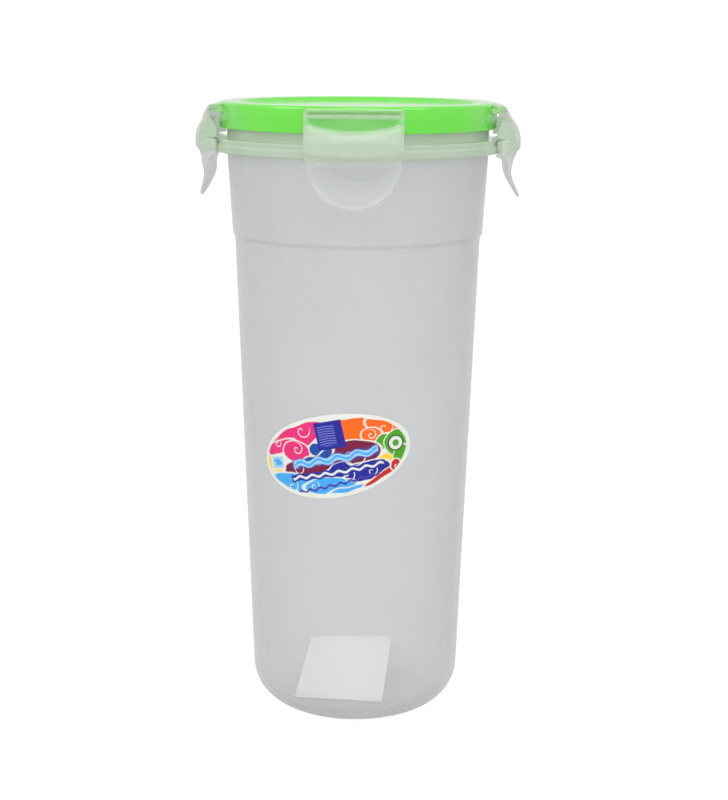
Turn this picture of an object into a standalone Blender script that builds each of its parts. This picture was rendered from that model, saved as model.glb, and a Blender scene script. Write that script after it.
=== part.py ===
"""Clip-lock food canister: a tall tapered jar, a two-piece lid and four latches on living hinges.

Lengths are in millimetres until the MM factor turns them into Blender's metres. The jar stands
on z = 0 with its axis on +Z, and the front latch faces -Y.
"""

import math

import bmesh
import bpy
from mathutils import Matrix, Vector

MM = 0.001
SEGMENTS = 48       # sides of every turned piece, all in the same phase
GAP = 0.3           # clearance between pieces that touch on the real object

# Jar
FOOT_RADIUS = 22.7
FOOT_WIDTH = 3.2
FOOT_DEPTH = 0.8
FLOOR_TOP = 2.0
BASE_FILLET = 15.0          # outer rounding between the floor and the wall
INNER_FILLET = 13.2
TAPER = 0.0364              # radius gained per unit of height
STEP_Z = 173.6              # height of the small outward step in the wall
STEP_HEIGHT = 1.4
STEP_OUT = 0.5
UPPER_TAPER = 0.068
WALL = 1.5
FLANGE_BOTTOM = 202.9
FLANGE_TOP = 207.6
FLANGE_RADIUS = 50.5
FLANGE_STEP_Z = 205.4       # a shallow step runs round the flange's edge
CHAMFER = 0.4               # broken edges of the jar and the lid frame
NECK_RADIUS = 46.0
MOUTH_RADIUS = 44.6
MOUTH_Z = 214.5

# Lid
LID_TOP = 220.0
COVER_RADIUS = 48.6
COVER_WALL = 1.3
COVER_BOTTOM = 211.1
COVER_EDGE = 0.9            # rounding of the rim
COVER_CHAMFER = 0.3         # broken edges at the skirt's lower end
RIM_INNER_RADIUS = 41.4
RECESS_RADIUS = 40.6
RECESS_TOP = 218.8
PLATE_BOTTOM = 216.2        # the frame's disc
PLATE_TOP = 217.4
PLATE_RADIUS = 47.0
PLUG_OUTER = 43.9
PLUG_INNER = 42.3
PLUG_BOTTOM = 208.5
PLUG_DRAFT = 0.2            # the plug wall narrows by this much towards its lower edge
LIP_BOTTOM = 213.8
LIP_INNER = 46.3

# Hinge lugs, webs and latches, as seen from the right-hand latch: x outward, y along the hinge
LUG_HALF_WIDTH = 15.75
LUG_ROOT = 44.0
LUG_FACE = 49.5
LUG_BOTTOM = 216.5
LUG_STEM_TOP = 218.3
LUG_HEAD_TOP = 219.4
LUG_FACE_TOP = 219.1        # the head slopes down to its outer face
WEB_THICKNESS = 0.5
WEB_LENGTH = 0.6
HINGE_X = LUG_FACE + GAP + WEB_LENGTH / 2
HINGE_Z = LUG_FACE_TOP - WEB_THICKNESS / 2
LATCH_ROOT = HINGE_X + WEB_LENGTH / 2 + GAP
LATCH_HALF_WIDTH = 16.25
LATCH_SKIN = 1.35
LATCH_TOP_LAND = 0.35       # width of the latch's edge at the hinge
LATCH_CORNER_Z = 204.0      # where the rectangular plate gives way to the round thumb tab
TAB_RADIUS = 15.8
TAB_CENTRE_Z = 202.7
HOOK_CLEARANCE = 0.35       # from the flange to the hook's inner face
HOOK_X = FLANGE_RADIUS + HOOK_CLEARANCE
HOOK_TOP = 207.5
HOOK_BOTTOM = 201.6

# Latch outline seen from the side at the latch's middle: (z, x) points that its two curves pass through
LATCH_OUTER = [(218.8, LATCH_ROOT + LATCH_TOP_LAND), (217.1, 52.0), (214.6, 53.8), (212.3, 55.5),
               (209.9, 56.6), (207.4, 57.0), (205.2, 56.8), (203.0, 55.9), (200.4, 54.5), (197.9, 53.9),
               (195.5, 53.85), (193.1, 54.4), (190.6, 55.3), (187.2, 56.6)]
TAIL_INNER = [(HOOK_BOTTOM, HOOK_X), (199.9, 52.5), (198.0, 52.75), (195.5, 52.8), (193.1, 53.35),
              (190.6, 54.4), (187.2, 55.9)]

# Seen from above the latch bends round the jar: (z, share) from straight (0) to concentric (1)
LATCH_BOW = [(217.1, 0.0), (210.5, 1.0), (203.0, 1.0), (200.0, 0.6)]
LATCH_COLUMNS = 8

# Printed sticker and loose paper slip
STICKER_HALF_LENGTH = 27.8
STICKER_HALF_HEIGHT = 14.6
STICKER_Z = 101.6
STICKER_AZIMUTH = math.radians(-10.1)   # from -Y towards +X
STICKER_TILT = math.radians(11.3)
STICKER_THICKNESS = 0.3
SLIP_CORNERS = [(-22.0, -11.2, 2.4), (10.4, -14.6, 2.4), (13.3, 31.4, 10.7), (-18.2, 29.4, 11.0)]
SLIP_THICKNESS = 0.3

SIDES = {"front": -90.0, "right": 0.0, "back": 90.0, "left": 180.0}


# ---------------------------------------------------------------------------- helpers

def clear_scene():
    for obj in list(bpy.data.objects):
        bpy.data.objects.remove(obj, do_unlink=True)


def make_material(name, colour, roughness, alpha=1.0):
    material = bpy.data.materials.new(name)
    material.use_nodes = True
    shader = material.node_tree.nodes["Principled BSDF"]
    shader.inputs["Base Color"].default_value = (*colour, 1.0)
    shader.inputs["Roughness"].default_value = roughness
    shader.inputs["Metallic"].default_value = 0.0
    shader.inputs["Alpha"].default_value = alpha
    return material


def make_object(name, bm, material, parent=None, sharp_angle=40.0):
    bmesh.ops.recalc_face_normals(bm, faces=bm.faces)
    mesh = bpy.data.meshes.new(name)
    bm.to_mesh(mesh)
    bm.free()
    mesh.materials.append(material)
    mesh.shade_smooth()
    mesh.set_sharp_from_angle(angle=math.radians(sharp_angle))
    return place_mesh(name, mesh, parent)


def place_mesh(name, mesh, parent=None):
    obj = bpy.data.objects.new(name, mesh)
    bpy.context.collection.objects.link(obj)
    obj.parent = parent
    return obj


def make_empty(name, parent=None):
    empty = bpy.data.objects.new(name, None)
    empty.empty_display_size = 10.0 * MM
    bpy.context.collection.objects.link(empty)
    empty.parent = parent
    return empty


def arc(centre, radius, start, end, steps):
    """Points of a circular arc in (r, z), from one angle to another in degrees."""
    points = []
    for i in range(steps + 1):
        angle = math.radians(start + (end - start) * i / steps)
        points.append((centre[0] + radius * math.cos(angle), centre[1] + radius * math.sin(angle)))
    return points


def turned(profile):
    """A closed (r, z) outline turned about the Z axis."""
    bm = bmesh.new()
    rings = []
    for r, z in profile:
        if r == 0.0:
            rings.append([bm.verts.new((0.0, 0.0, z * MM))])
            continue
        ring = []
        for i in range(SEGMENTS):
            angle = 2.0 * math.pi * i / SEGMENTS
            ring.append(bm.verts.new((r * math.cos(angle) * MM, r * math.sin(angle) * MM, z * MM)))
        rings.append(ring)
    for lower, upper in zip(rings, rings[1:] + rings[:1]):
        if len(lower) == 1 and len(upper) == 1:
            continue
        for i in range(SEGMENTS):
            j = (i + 1) % SEGMENTS
            corners = [lower[i % len(lower)], lower[j % len(lower)],
                       upper[j % len(upper)], upper[i % len(upper)]]
            bm.faces.new(list(dict.fromkeys(corners)))
    return bm


def extruded(outline, half_width):
    """An (x, z) outline made into a bar that runs along Y."""
    bm = bmesh.new()
    near = [bm.verts.new((x * MM, -half_width * MM, z * MM)) for x, z in outline]
    bm.faces.new(near)
    body = bmesh.ops.extrude_face_region(bm, geom=bm.faces[:])
    moved = [item for item in body["geom"] if isinstance(item, bmesh.types.BMVert)]
    bmesh.ops.translate(bm, verts=moved, vec=(0.0, 2.0 * half_width * MM, 0.0))
    return bm


def curve_through(points, z):
    """Smooth x at height z on the curve through (z, x) points, listed from the top down."""
    index = 0
    while index < len(points) - 2 and z < points[index + 1][0]:
        index += 1
    z0, x0 = points[index]
    z1, x1 = points[index + 1]
    before = points[max(index - 1, 0)]
    after = points[min(index + 2, len(points) - 1)]
    slope0 = (x1 - before[1]) / (z1 - before[0])
    slope1 = (after[1] - x0) / (after[0] - z0)
    span = z1 - z0
    t = (z - z0) / span
    return ((2 * t**3 - 3 * t**2 + 1) * x0 + (t**3 - 2 * t**2 + t) * span * slope0
            + (3 * t**2 - 2 * t**3) * x1 + (t**3 - t**2) * span * slope1)


def add_modifier_cut(obj, cutter, operation):
    cutter.hide_render = True
    cutter.display_type = "WIRE"
    modifier = obj.modifiers.new(operation.title(), "BOOLEAN")
    modifier.operation = operation
    modifier.solver = "EXACT"
    modifier.object = cutter


# ---------------------------------------------------------------------------- jar

def wall_radius(z):
    """Outer radius of the jar's wall below the step."""
    return FOOT_RADIUS + BASE_FILLET + TAPER * (z - BASE_FILLET)


def build_jar(material):
    lean = math.degrees(math.atan(TAPER))
    step_low = STEP_Z - STEP_HEIGHT / 2
    step_high = STEP_Z + STEP_HEIGHT / 2
    upper_start = wall_radius(step_high) + STEP_OUT
    upper_end = upper_start + UPPER_TAPER * (FLANGE_BOTTOM - step_high)
    base = arc((FOOT_RADIUS, BASE_FILLET), BASE_FILLET, -90.0, -lean, 6)
    inside = arc((FOOT_RADIUS, FLOOR_TOP + INNER_FILLET), INNER_FILLET, -lean, -90.0, 6)
    outline = [(0.0, FOOT_DEPTH), (FOOT_RADIUS - FOOT_WIDTH - FOOT_DEPTH, FOOT_DEPTH)]
    outline += [(FOOT_RADIUS - FOOT_WIDTH, 0.0)] + base
    outline += [(wall_radius(step_low), step_low), (upper_start, step_high)]
    outline += [(upper_end, FLANGE_BOTTOM), (FLANGE_RADIUS - CHAMFER, FLANGE_BOTTOM)]
    outline += [(FLANGE_RADIUS, FLANGE_BOTTOM + CHAMFER), (FLANGE_RADIUS, FLANGE_STEP_Z)]
    outline += [(FLANGE_RADIUS - CHAMFER, FLANGE_STEP_Z + CHAMFER)]
    outline += [(FLANGE_RADIUS - CHAMFER, FLANGE_TOP - CHAMFER)]
    outline += [(FLANGE_RADIUS - 2 * CHAMFER, FLANGE_TOP), (NECK_RADIUS, FLANGE_TOP)]
    outline += [(NECK_RADIUS, MOUTH_Z - CHAMFER), (NECK_RADIUS - CHAMFER, MOUTH_Z)]
    outline += [(MOUTH_RADIUS + CHAMFER, MOUTH_Z), (MOUTH_RADIUS, MOUTH_Z - CHAMFER)]
    outline += [(upper_end - WALL, FLANGE_BOTTOM), (upper_start - WALL, step_high)]
    outline += [(wall_radius(step_low) - WALL, step_low)] + inside + [(0.0, FLOOR_TOP)]
    return make_object("canister_body", turned(outline), material)


def build_sticker(material):
    """A thin oval patch that follows the jar's taper, made of rings of points."""
    rings, spokes = 5, 32
    bm = bmesh.new()

    def point(ring, spoke, offset):
        angle = 2.0 * math.pi * spoke / spokes
        along = STICKER_HALF_LENGTH * ring / rings * math.cos(angle)
        across = STICKER_HALF_HEIGHT * ring / rings * math.sin(angle)
        u = along * math.cos(STICKER_TILT) - across * math.sin(STICKER_TILT)
        v = along * math.sin(STICKER_TILT) + across * math.cos(STICKER_TILT)
        azimuth = STICKER_AZIMUTH + u / wall_radius(STICKER_Z)
        z = STICKER_Z + v
        r = wall_radius(z) + offset
        return bm.verts.new((r * math.sin(azimuth) * MM, -r * math.cos(azimuth) * MM, z * MM))

    edges = []
    for offset in (GAP, GAP + STICKER_THICKNESS):
        inner = [point(0, 0, offset)]
        for ring in range(1, rings + 1):
            outer = [point(ring, spoke, offset) for spoke in range(spokes)]
            for i in range(spokes):
                j = (i + 1) % spokes
                corners = [inner[i % len(inner)], outer[i], outer[j], inner[j % len(inner)]]
                bm.faces.new(list(dict.fromkeys(corners)))
            inner = outer
        edges.append(outer)
    for i in range(spokes):
        j = (i + 1) % spokes
        bm.faces.new([edges[0][i], edges[0][j], edges[1][j], edges[1][i]])
    return make_object("front_sticker", bm, material)


def build_slip(material):
    """A loose paper slip that leans from the floor onto the rounding at the back."""
    bm = bmesh.new()
    low = [bm.verts.new(Vector(corner) * MM) for corner in SLIP_CORNERS]
    lift = Vector((0.0, 0.0, SLIP_THICKNESS))
    high = [bm.verts.new((Vector(corner) + lift) * MM) for corner in SLIP_CORNERS]
    for side in (low, high):
        bm.faces.new([side[0], side[1], side[2]])
        bm.faces.new([side[0], side[2], side[3]])
    for i in range(4):
        j = (i + 1) % 4
        bm.faces.new([low[i], low[j], high[j], high[i]])
    return make_object("paper_slip", bm, material)


# ---------------------------------------------------------------------------- lid

def build_lid_frame(material, parent):
    """The clear disc under the cover, with its plug wall, gasket channel and four hinge lugs."""
    outline = [(0.0, PLATE_BOTTOM), (PLUG_INNER, PLATE_BOTTOM), (PLUG_INNER, PLUG_BOTTOM + CHAMFER)]
    outline += [(PLUG_INNER + CHAMFER, PLUG_BOTTOM), (PLUG_OUTER - PLUG_DRAFT - CHAMFER, PLUG_BOTTOM)]
    outline += [(PLUG_OUTER - PLUG_DRAFT, PLUG_BOTTOM + CHAMFER), (PLUG_OUTER, PLATE_BOTTOM)]
    outline += [(LIP_INNER, PLATE_BOTTOM), (LIP_INNER, LIP_BOTTOM), (PLATE_RADIUS, LIP_BOTTOM)]
    outline += [(PLATE_RADIUS, PLATE_TOP), (0.0, PLATE_TOP)]
    frame = make_object("lid_frame", turned(outline), material, parent)

    relief_radius = COVER_RADIUS + GAP
    relief_outline = [(0.0, LUG_STEM_TOP), (relief_radius, LUG_STEM_TOP), (relief_radius, LID_TOP),
                      (0.0, LID_TOP)]
    relief = make_object("lug_relief_cutter", turned(relief_outline), material, parent)
    lug_outline = [(LUG_ROOT, LUG_BOTTOM), (LUG_FACE, LUG_BOTTOM), (LUG_FACE, LUG_FACE_TOP),
                   (COVER_RADIUS, LUG_HEAD_TOP), (LUG_ROOT, LUG_HEAD_TOP)]
    for side, angle in SIDES.items():
        lug = make_object("lug_" + side + "_guide", extruded(lug_outline, LUG_HALF_WIDTH), material, parent)
        lug.rotation_euler.z = math.radians(angle)
        add_modifier_cut(frame, lug, "UNION")
    add_modifier_cut(frame, relief, "DIFFERENCE")
    return frame


def build_lid_cover(material, parent):
    """The coloured cap, with a raised rim, a recessed top and a slot for each lug."""
    edge = arc((COVER_RADIUS - COVER_EDGE, LID_TOP - COVER_EDGE), COVER_EDGE, 0.0, 90.0, 3)
    inner = COVER_RADIUS - COVER_WALL
    plate_underside = PLATE_TOP + GAP
    outline = [(0.0, plate_underside), (inner, plate_underside), (inner, COVER_BOTTOM + COVER_CHAMFER)]
    outline += [(inner + COVER_CHAMFER, COVER_BOTTOM), (COVER_RADIUS - COVER_CHAMFER, COVER_BOTTOM)]
    outline += [(COVER_RADIUS, COVER_BOTTOM + COVER_CHAMFER)] + edge
    outline += [(RIM_INNER_RADIUS, LID_TOP), (RECESS_RADIUS, RECESS_TOP), (0.0, RECESS_TOP)]
    cover = make_object("lid_cover", turned(outline), material, parent)

    low, high = LUG_BOTTOM - GAP, LUG_STEM_TOP + GAP
    start = LUG_ROOT - GAP
    slot_outline = [(start, low), (LUG_FACE, low), (LUG_FACE, high), (start, high)]
    for side, angle in SIDES.items():
        bar = extruded(slot_outline, LUG_HALF_WIDTH + GAP)
        slot = make_object("slot_" + side + "_cutter", bar, material, parent)
        slot.rotation_euler.z = math.radians(angle)
        add_modifier_cut(cover, slot, "DIFFERENCE")
    return cover


def build_gasket(material, parent):
    low, high = MOUTH_Z + GAP, PLATE_BOTTOM - GAP
    inner, outer = PLUG_OUTER + GAP, LIP_INNER - GAP
    return make_object("gasket", turned([(inner, low), (outer, low), (outer, high), (inner, high)]),
                       material, parent)


# ---------------------------------------------------------------------------- latches

def latch_half_width(z):
    """Half of the latch's width at a height: a plate above, a round thumb tab below."""
    if z >= LATCH_CORNER_Z:
        return LATCH_HALF_WIDTH
    drop = max(TAB_CENTRE_Z - z, 0.0)
    return math.sqrt(TAB_RADIUS**2 - drop**2)


def latch_inner(z):
    """Depth of the latch's inner face at a height: thin skin, then hook, then tail."""
    if z > HOOK_TOP:
        return max(curve_through(LATCH_OUTER, z) - LATCH_SKIN, LATCH_ROOT)
    if z >= HOOK_BOTTOM:
        return HOOK_X
    return curve_through(TAIL_INNER, z)


def bow_share(z):
    """How far the latch follows the jar's roundness at a height."""
    for (z0, share0), (z1, share1) in zip(LATCH_BOW, LATCH_BOW[1:]):
        if z >= z1:
            t = min(max((z0 - z) / (z0 - z1), 0.0), 1.0)
            return share0 + (share1 - share0) * t
    return LATCH_BOW[-1][1]


def bowed(x, y, z):
    """The depth at a place across the latch, from the depth x at its middle."""
    return x - bow_share(z) * (x - math.sqrt(x * x - y * y))


def latch_levels():
    """Heights of the latch's cross-sections, from the hinge down to the tip."""
    shell_top = LATCH_OUTER[1][0]
    shell_bottom = HOOK_TOP + CHAMFER / 2
    shell_steps = 6
    levels = [shell_top + (shell_bottom - shell_top) * i / shell_steps for i in range(shell_steps + 1)]
    levels += [HOOK_TOP, (HOOK_TOP + LATCH_CORNER_Z) / 2, LATCH_CORNER_Z, LATCH_CORNER_Z - CHAMFER]
    levels += [TAB_CENTRE_Z, HOOK_BOTTOM]
    for degrees in (10, 16, 22, 30, 40, 50, 60, 70, 78):
        levels.append(TAB_CENTRE_Z - TAB_RADIUS * math.sin(math.radians(degrees)))
    return levels


def latch_mesh(material):
    """One latch for the right-hand side, with its origin on the hinge axis."""
    sections = [(LATCH_ROOT, LATCH_ROOT + LATCH_TOP_LAND, LATCH_OUTER[0][0])]
    sections += [(latch_inner(z), curve_through(LATCH_OUTER, z), z) for z in latch_levels()]
    bm = bmesh.new()
    rings = []
    for inner, outer, z in sections:
        half = latch_half_width(z)
        across = [half * (2.0 * i / LATCH_COLUMNS - 1.0) for i in range(LATCH_COLUMNS + 1)]
        edge = [(bowed(outer, y, z), y) for y in across]
        edge += [(bowed(inner, y, z), y) for y in reversed(across)]
        rings.append([bm.verts.new(((x - HINGE_X) * MM, y * MM, (z - HINGE_Z) * MM)) for x, y in edge])
    for upper, lower in zip(rings, rings[1:]):
        for i in range(len(upper)):
            j = (i + 1) % len(upper)
            bm.faces.new([upper[i], upper[j], lower[j], lower[i]])
    for ring in (rings[0], rings[-1]):
        for i in range(LATCH_COLUMNS):
            bm.faces.new([ring[i], ring[i + 1], ring[-2 - i], ring[-1 - i]])
    bmesh.ops.recalc_face_normals(bm, faces=bm.faces)
    mesh = bpy.data.meshes.new("latch")
    bm.to_mesh(mesh)
    bm.free()
    mesh.materials.append(material)
    mesh.shade_smooth()
    mesh.set_sharp_from_angle(angle=math.radians(35.0))
    return mesh


def build_latches(latch_material, web_material, parent):
    """Four latches and the four thin hinge webs that join them to the lugs."""
    mesh = latch_mesh(latch_material)
    u, v = WEB_LENGTH / 2, WEB_THICKNESS / 2
    web_outline = [(-u, -v), (u, -v), (u, v), (-u, v)]
    for side, angle in SIDES.items():
        turn = Matrix.Rotation(math.radians(angle), 4, "Z")
        hinge = turn @ Vector((HINGE_X, 0.0, HINGE_Z)) * MM
        latch = place_mesh("latch_" + side, mesh, parent)
        web_bar = extruded(web_outline, LUG_HALF_WIDTH - GAP)
        web = make_object("hinge_web_" + side, web_bar, web_material, parent)
        for piece in (latch, web):
            piece.location = hinge
            piece.rotation_euler.z = math.radians(angle)


# ---------------------------------------------------------------------------- assembly

def main():
    clear_scene()
    clear_plastic = make_material("clear_polypropylene", (0.78, 0.79, 0.80), 0.18, 0.45)
    frame_plastic = make_material("frame_polypropylene", (0.74, 0.84, 0.70), 0.30, 0.70)
    latch_plastic = make_material("latch_polypropylene", (0.72, 0.86, 0.68), 0.32, 0.70)
    web_plastic = make_material("hinge_polypropylene", (0.76, 0.86, 0.72), 0.35, 0.80)
    green_plastic = make_material("green_polypropylene", (0.19, 0.76, 0.07), 0.22)
    silicone = make_material("silicone", (0.80, 0.81, 0.79), 0.55)
    print_film = make_material("sticker_film", (0.78, 0.40, 0.52), 0.30)
    paper = make_material("paper", (0.80, 0.82, 0.79), 0.85)

    build_jar(clear_plastic)
    build_sticker(print_film)
    build_slip(paper)
    lid = make_empty("lid_lift_axis")
    build_lid_frame(frame_plastic, lid)
    build_lid_cover(green_plastic, lid)
    build_gasket(silicone, lid)
    build_latches(latch_plastic, web_plastic, lid)


main()
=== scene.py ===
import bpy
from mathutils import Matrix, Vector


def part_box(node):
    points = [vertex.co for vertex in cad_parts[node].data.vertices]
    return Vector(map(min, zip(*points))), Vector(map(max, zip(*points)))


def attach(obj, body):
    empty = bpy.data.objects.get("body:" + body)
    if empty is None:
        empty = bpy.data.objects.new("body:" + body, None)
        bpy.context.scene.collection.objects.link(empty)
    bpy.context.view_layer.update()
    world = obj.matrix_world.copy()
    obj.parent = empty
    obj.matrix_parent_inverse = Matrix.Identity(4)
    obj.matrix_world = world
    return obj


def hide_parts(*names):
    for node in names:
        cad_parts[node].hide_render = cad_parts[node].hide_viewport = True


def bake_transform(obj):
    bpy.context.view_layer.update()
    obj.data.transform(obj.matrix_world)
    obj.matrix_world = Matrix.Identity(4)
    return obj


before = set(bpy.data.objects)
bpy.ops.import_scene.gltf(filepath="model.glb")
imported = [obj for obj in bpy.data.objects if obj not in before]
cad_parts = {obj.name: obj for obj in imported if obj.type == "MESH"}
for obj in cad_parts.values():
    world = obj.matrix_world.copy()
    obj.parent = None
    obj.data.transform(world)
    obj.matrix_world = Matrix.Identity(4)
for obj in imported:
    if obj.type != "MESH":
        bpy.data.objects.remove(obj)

"""The looks of the clip-lock food canister: fine meshes, plastics, printed sticker and studio.

Lengths in the mesh code are millimetres, turned into Blender's metres by MM. Heights and radii of
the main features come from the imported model's boxes; the rest are small details named below.
"""

import math

import bmesh
import bpy
from mathutils import Matrix, Vector

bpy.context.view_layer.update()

MM = 0.001
SEGMENTS = 256          # sides of the turned pieces
CORNER_STEPS = 5        # steps along each rounded corner of an outline
SHARP_ANGLE = math.radians(50.0)


def box_mm(node):
    """A node's lowest and highest corners at rest, in millimetres."""
    low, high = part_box(node)
    return [value / MM for value in low], [value / MM for value in high]


# ---------------------------------------------------------------------------- sizes

# Jar
FOOT_RADIUS = 22.7      # where the rounding of the base starts
BASE_FILLET = 15.0
FLOOR_FILLET = BASE_FILLET - 1.8
TAPER = 0.0364          # growth of the wall's radius for each unit of height
STEP_Z = 173.6          # middle of the small outward step below the mouth
STEP_HALF_HEIGHT = 0.7
STEP_OUT = 0.75
FLANGE_BOTTOM = 202.9
FLANGE_TOP = 207.6
FLANGE_RADIUS = box_mm("canister_body")[1][0]
MOUTH_Z = box_mm("canister_body")[1][2]
NECK_RADIUS = 46.0
MOUTH_RADIUS = 44.6
FLOOR_TOP = 2.0
WALL = 1.5

# Lid
LID_TOP = box_mm("lid_cover")[1][2]
COVER_RADIUS = box_mm("lid_cover")[1][0]
COVER_BOTTOM = box_mm("lid_cover")[0][2]
COVER_INNER = COVER_RADIUS - 1.3
COVER_UNDERSIDE = 217.7
RIM_INNER = 41.6        # inner edge of the raised rim
RECESS_RADIUS = 40.4
RECESS_FLOOR = 218.8
PLATE_TOP = 217.4
PLATE_BOTTOM = 216.2
PLUG_BOTTOM = box_mm("lid_frame")[0][2]
PLUG_INNER = 42.4
PLUG_OUTER = 43.7
CHANNEL_RADIUS = 46.3   # outer side of the gasket's channel
FRAME_RADIUS = 47.0
FRAME_BOTTOM = 213.8
LUG_FACE = box_mm("lid_frame")[1][0]
LUG_HALF_WIDTH = 15.75
LUG_BOTTOM = 216.55
LUG_TOP = 219.1
LUG_RIDGE = 219.45      # top of the lug where it meets the cover
STEM_START = 44.0       # the stem that carries the lug through the cover's slot
STEM_TOP = 218.25

# Latches
LATCH_ROOT = -box_mm("hinge_web_front")[0][1] + 0.3
LATCH_TOP = box_mm("latch_front")[1][2]
LATCH_HALF_WIDTH = box_mm("latch_front")[1][0]
LATCH_REACH = box_mm("latch_right")[1][0]
TAB_RADIUS = 15.8
TAB_CENTRE_Z = 202.7
CORNER_LOW_Z = 203.3    # the plate widens from the tab's width to its own between these heights
CORNER_HIGH_Z = 204.3
SKIN = 1.4
HOOK_FACE = 50.6
HOOK_TOE_Z = 202.75     # lower end of the hook's face
HOOK_FADE = (207.1, 208.1)
RIB_START = 15.1        # distance of the side ribs from the latch's middle
RIB_FADE = 0.3
RIB_FACE = 50.6
EDGE_ROUND = 0.5
BEAD_WIDTH = 1.7
BEAD_HEIGHT = 0.45

# Latch curves seen from the side, at its middle: (z, x) points, x measured outward from the jar's axis
LATCH_OUTER = [(218.8, LATCH_ROOT + 0.35), (217.1, 52.0), (214.6, 53.8), (212.3, 55.5), (209.9, 56.6),
               (207.4, 57.0), (205.4, 56.8), (204.3, 55.9), (202.6, 55.2), (200.4, 54.5), (197.9, 53.9),
               (195.5, 53.85), (193.1, 54.4), (190.6, 55.3), (186.9, 56.6)]
TAIL_INNER = [(202.3, 49.7), (201.0, 51.6), (199.9, 52.5), (198.0, 52.75), (195.5, 52.8), (193.1, 53.35),
              (190.6, 54.4), (186.9, 56.0)]
# How far each thumb tab is bent out of line at its tip
TAB_BEND = {"front": 0.0, "right": 0.2, "back": 0.0, "left": -1.1}

# The loose slip's corners on the floor and on the rounding at the back
SLIP_CORNERS = [(-22.0, -11.2, 2.4), (10.4, -14.6, 2.4), (13.3, 31.4, 10.7), (-18.2, 29.4, 11.0)]

SIDES = {"front": -90.0, "right": 0.0, "back": 90.0, "left": 180.0}


# ---------------------------------------------------------------------------- mesh helpers

def finish_mesh(name, bm, material):
    """A smooth-shaded object from a bmesh whose lengths are millimetres."""
    bmesh.ops.scale(bm, vec=(MM, MM, MM), verts=bm.verts)
    bmesh.ops.recalc_face_normals(bm, faces=bm.faces)
    mesh = bpy.data.meshes.new(name)
    bm.to_mesh(mesh)
    bm.free()
    mesh.materials.append(material)
    mesh.shade_smooth()
    mesh.set_sharp_from_angle(angle=SHARP_ANGLE)
    obj = bpy.data.objects.new(name, mesh)
    bpy.context.collection.objects.link(obj)
    return obj


def rounded(points):
    """An (r, z) outline from (r, z, radius) corners, each corner rounded by its radius."""
    outline = []
    for i, (r, z, radius) in enumerate(points):
        corner = Vector((r, z))
        if radius == 0.0 or i in (0, len(points) - 1):
            outline.append((r, z))
            continue
        before = Vector(points[i - 1][:2]) - corner
        after = Vector(points[i + 1][:2]) - corner
        half_angle = before.angle(after) / 2.0
        reach = min(radius / math.tan(half_angle), before.length * 0.49, after.length * 0.49)
        start = corner + before.normalized() * reach
        end = corner + after.normalized() * reach
        for step in range(CORNER_STEPS + 1):
            t = step / CORNER_STEPS
            point = start * (1 - t) ** 2 + corner * 2 * t * (1 - t) + end * t * t
            outline.append((point.x, point.y))
    return outline


def arc(centre, radius, start, end, steps):
    """Points along an arc between two angles in degrees."""
    points = []
    for i in range(steps + 1):
        angle = math.radians(start + (end - start) * i / steps)
        points.append((centre[0] + radius * math.cos(angle), centre[1] + radius * math.sin(angle)))
    return points


def turned(outline):
    """A closed (r, z) outline turned about the Z axis."""
    bm = bmesh.new()
    rings = []
    for r, z in outline:
        count = 1 if r < 1e-6 else SEGMENTS
        ring = []
        for i in range(count):
            angle = 2.0 * math.pi * i / SEGMENTS
            ring.append(bm.verts.new((r * math.cos(angle), r * math.sin(angle), z)))
        rings.append(ring)
    for lower, upper in zip(rings, rings[1:] + rings[:1]):
        if len(lower) == 1 and len(upper) == 1:
            continue
        for i in range(SEGMENTS):
            j = (i + 1) % SEGMENTS
            corners = [lower[i % len(lower)], lower[j % len(lower)],
                       upper[j % len(upper)], upper[i % len(upper)]]
            bm.faces.new(list(dict.fromkeys(corners)))
    return bm


def loft(sections):
    """Closed rings of points joined in order, with a cap at each end."""
    bm = bmesh.new()
    rings = [[bm.verts.new(point) for point in section] for section in sections]
    for first, second in zip(rings, rings[1:]):
        for i in range(len(first)):
            j = (i + 1) % len(first)
            bm.faces.new([first[i], first[j], second[j], second[i]])
    bm.faces.new(rings[0])
    bm.faces.new(rings[-1])
    return bm


def curve_through(points, z):
    """Smooth x at height z on the curve through (z, x) points, listed from the top down."""
    index = 0
    while index < len(points) - 2 and z < points[index + 1][0]:
        index += 1
    z0, x0 = points[index]
    z1, x1 = points[index + 1]
    before = points[max(index - 1, 0)]
    after = points[min(index + 2, len(points) - 1)]
    slope0 = (x1 - before[1]) / (z1 - before[0])
    slope1 = (after[1] - x0) / (after[0] - z0)
    span = z1 - z0
    t = (z - z0) / span
    return ((2 * t**3 - 3 * t**2 + 1) * x0 + (t**3 - 2 * t**2 + t) * span * slope0
            + (3 * t**2 - 2 * t**3) * x1 + (t**3 - t**2) * span * slope1)


def smoothstep(low, high, value):
    """Eases from 0 at low to 1 at high; low may be the larger of the two."""
    t = min(max((value - low) / (high - low), 0.0), 1.0)
    return t * t * (3.0 - 2.0 * t)


def apply_cut(obj, cutter, operation):
    """Applies one exact Boolean and removes the cutter."""
    modifier = obj.modifiers.new("cut", "BOOLEAN")
    modifier.operation = operation
    modifier.solver = "EXACT"
    modifier.object = cutter
    bpy.context.view_layer.update()
    graph = bpy.context.evaluated_depsgraph_get()
    mesh = bpy.data.meshes.new_from_object(obj.evaluated_get(graph))
    obj.modifiers.clear()
    obj.data = mesh
    bpy.data.objects.remove(cutter, do_unlink=True)


# ---------------------------------------------------------------------------- material helpers

def new_material(name):
    """A material with its node tree and its Principled shader."""
    material = bpy.data.materials.new(name)
    material.use_nodes = True
    return material, material.node_tree, material.node_tree.nodes["Principled BSDF"]


def add_node(tree, kind, **settings):
    """A new node with the given properties."""
    node = tree.nodes.new(kind)
    for key, value in settings.items():
        setattr(node, key, value)
    return node


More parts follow.
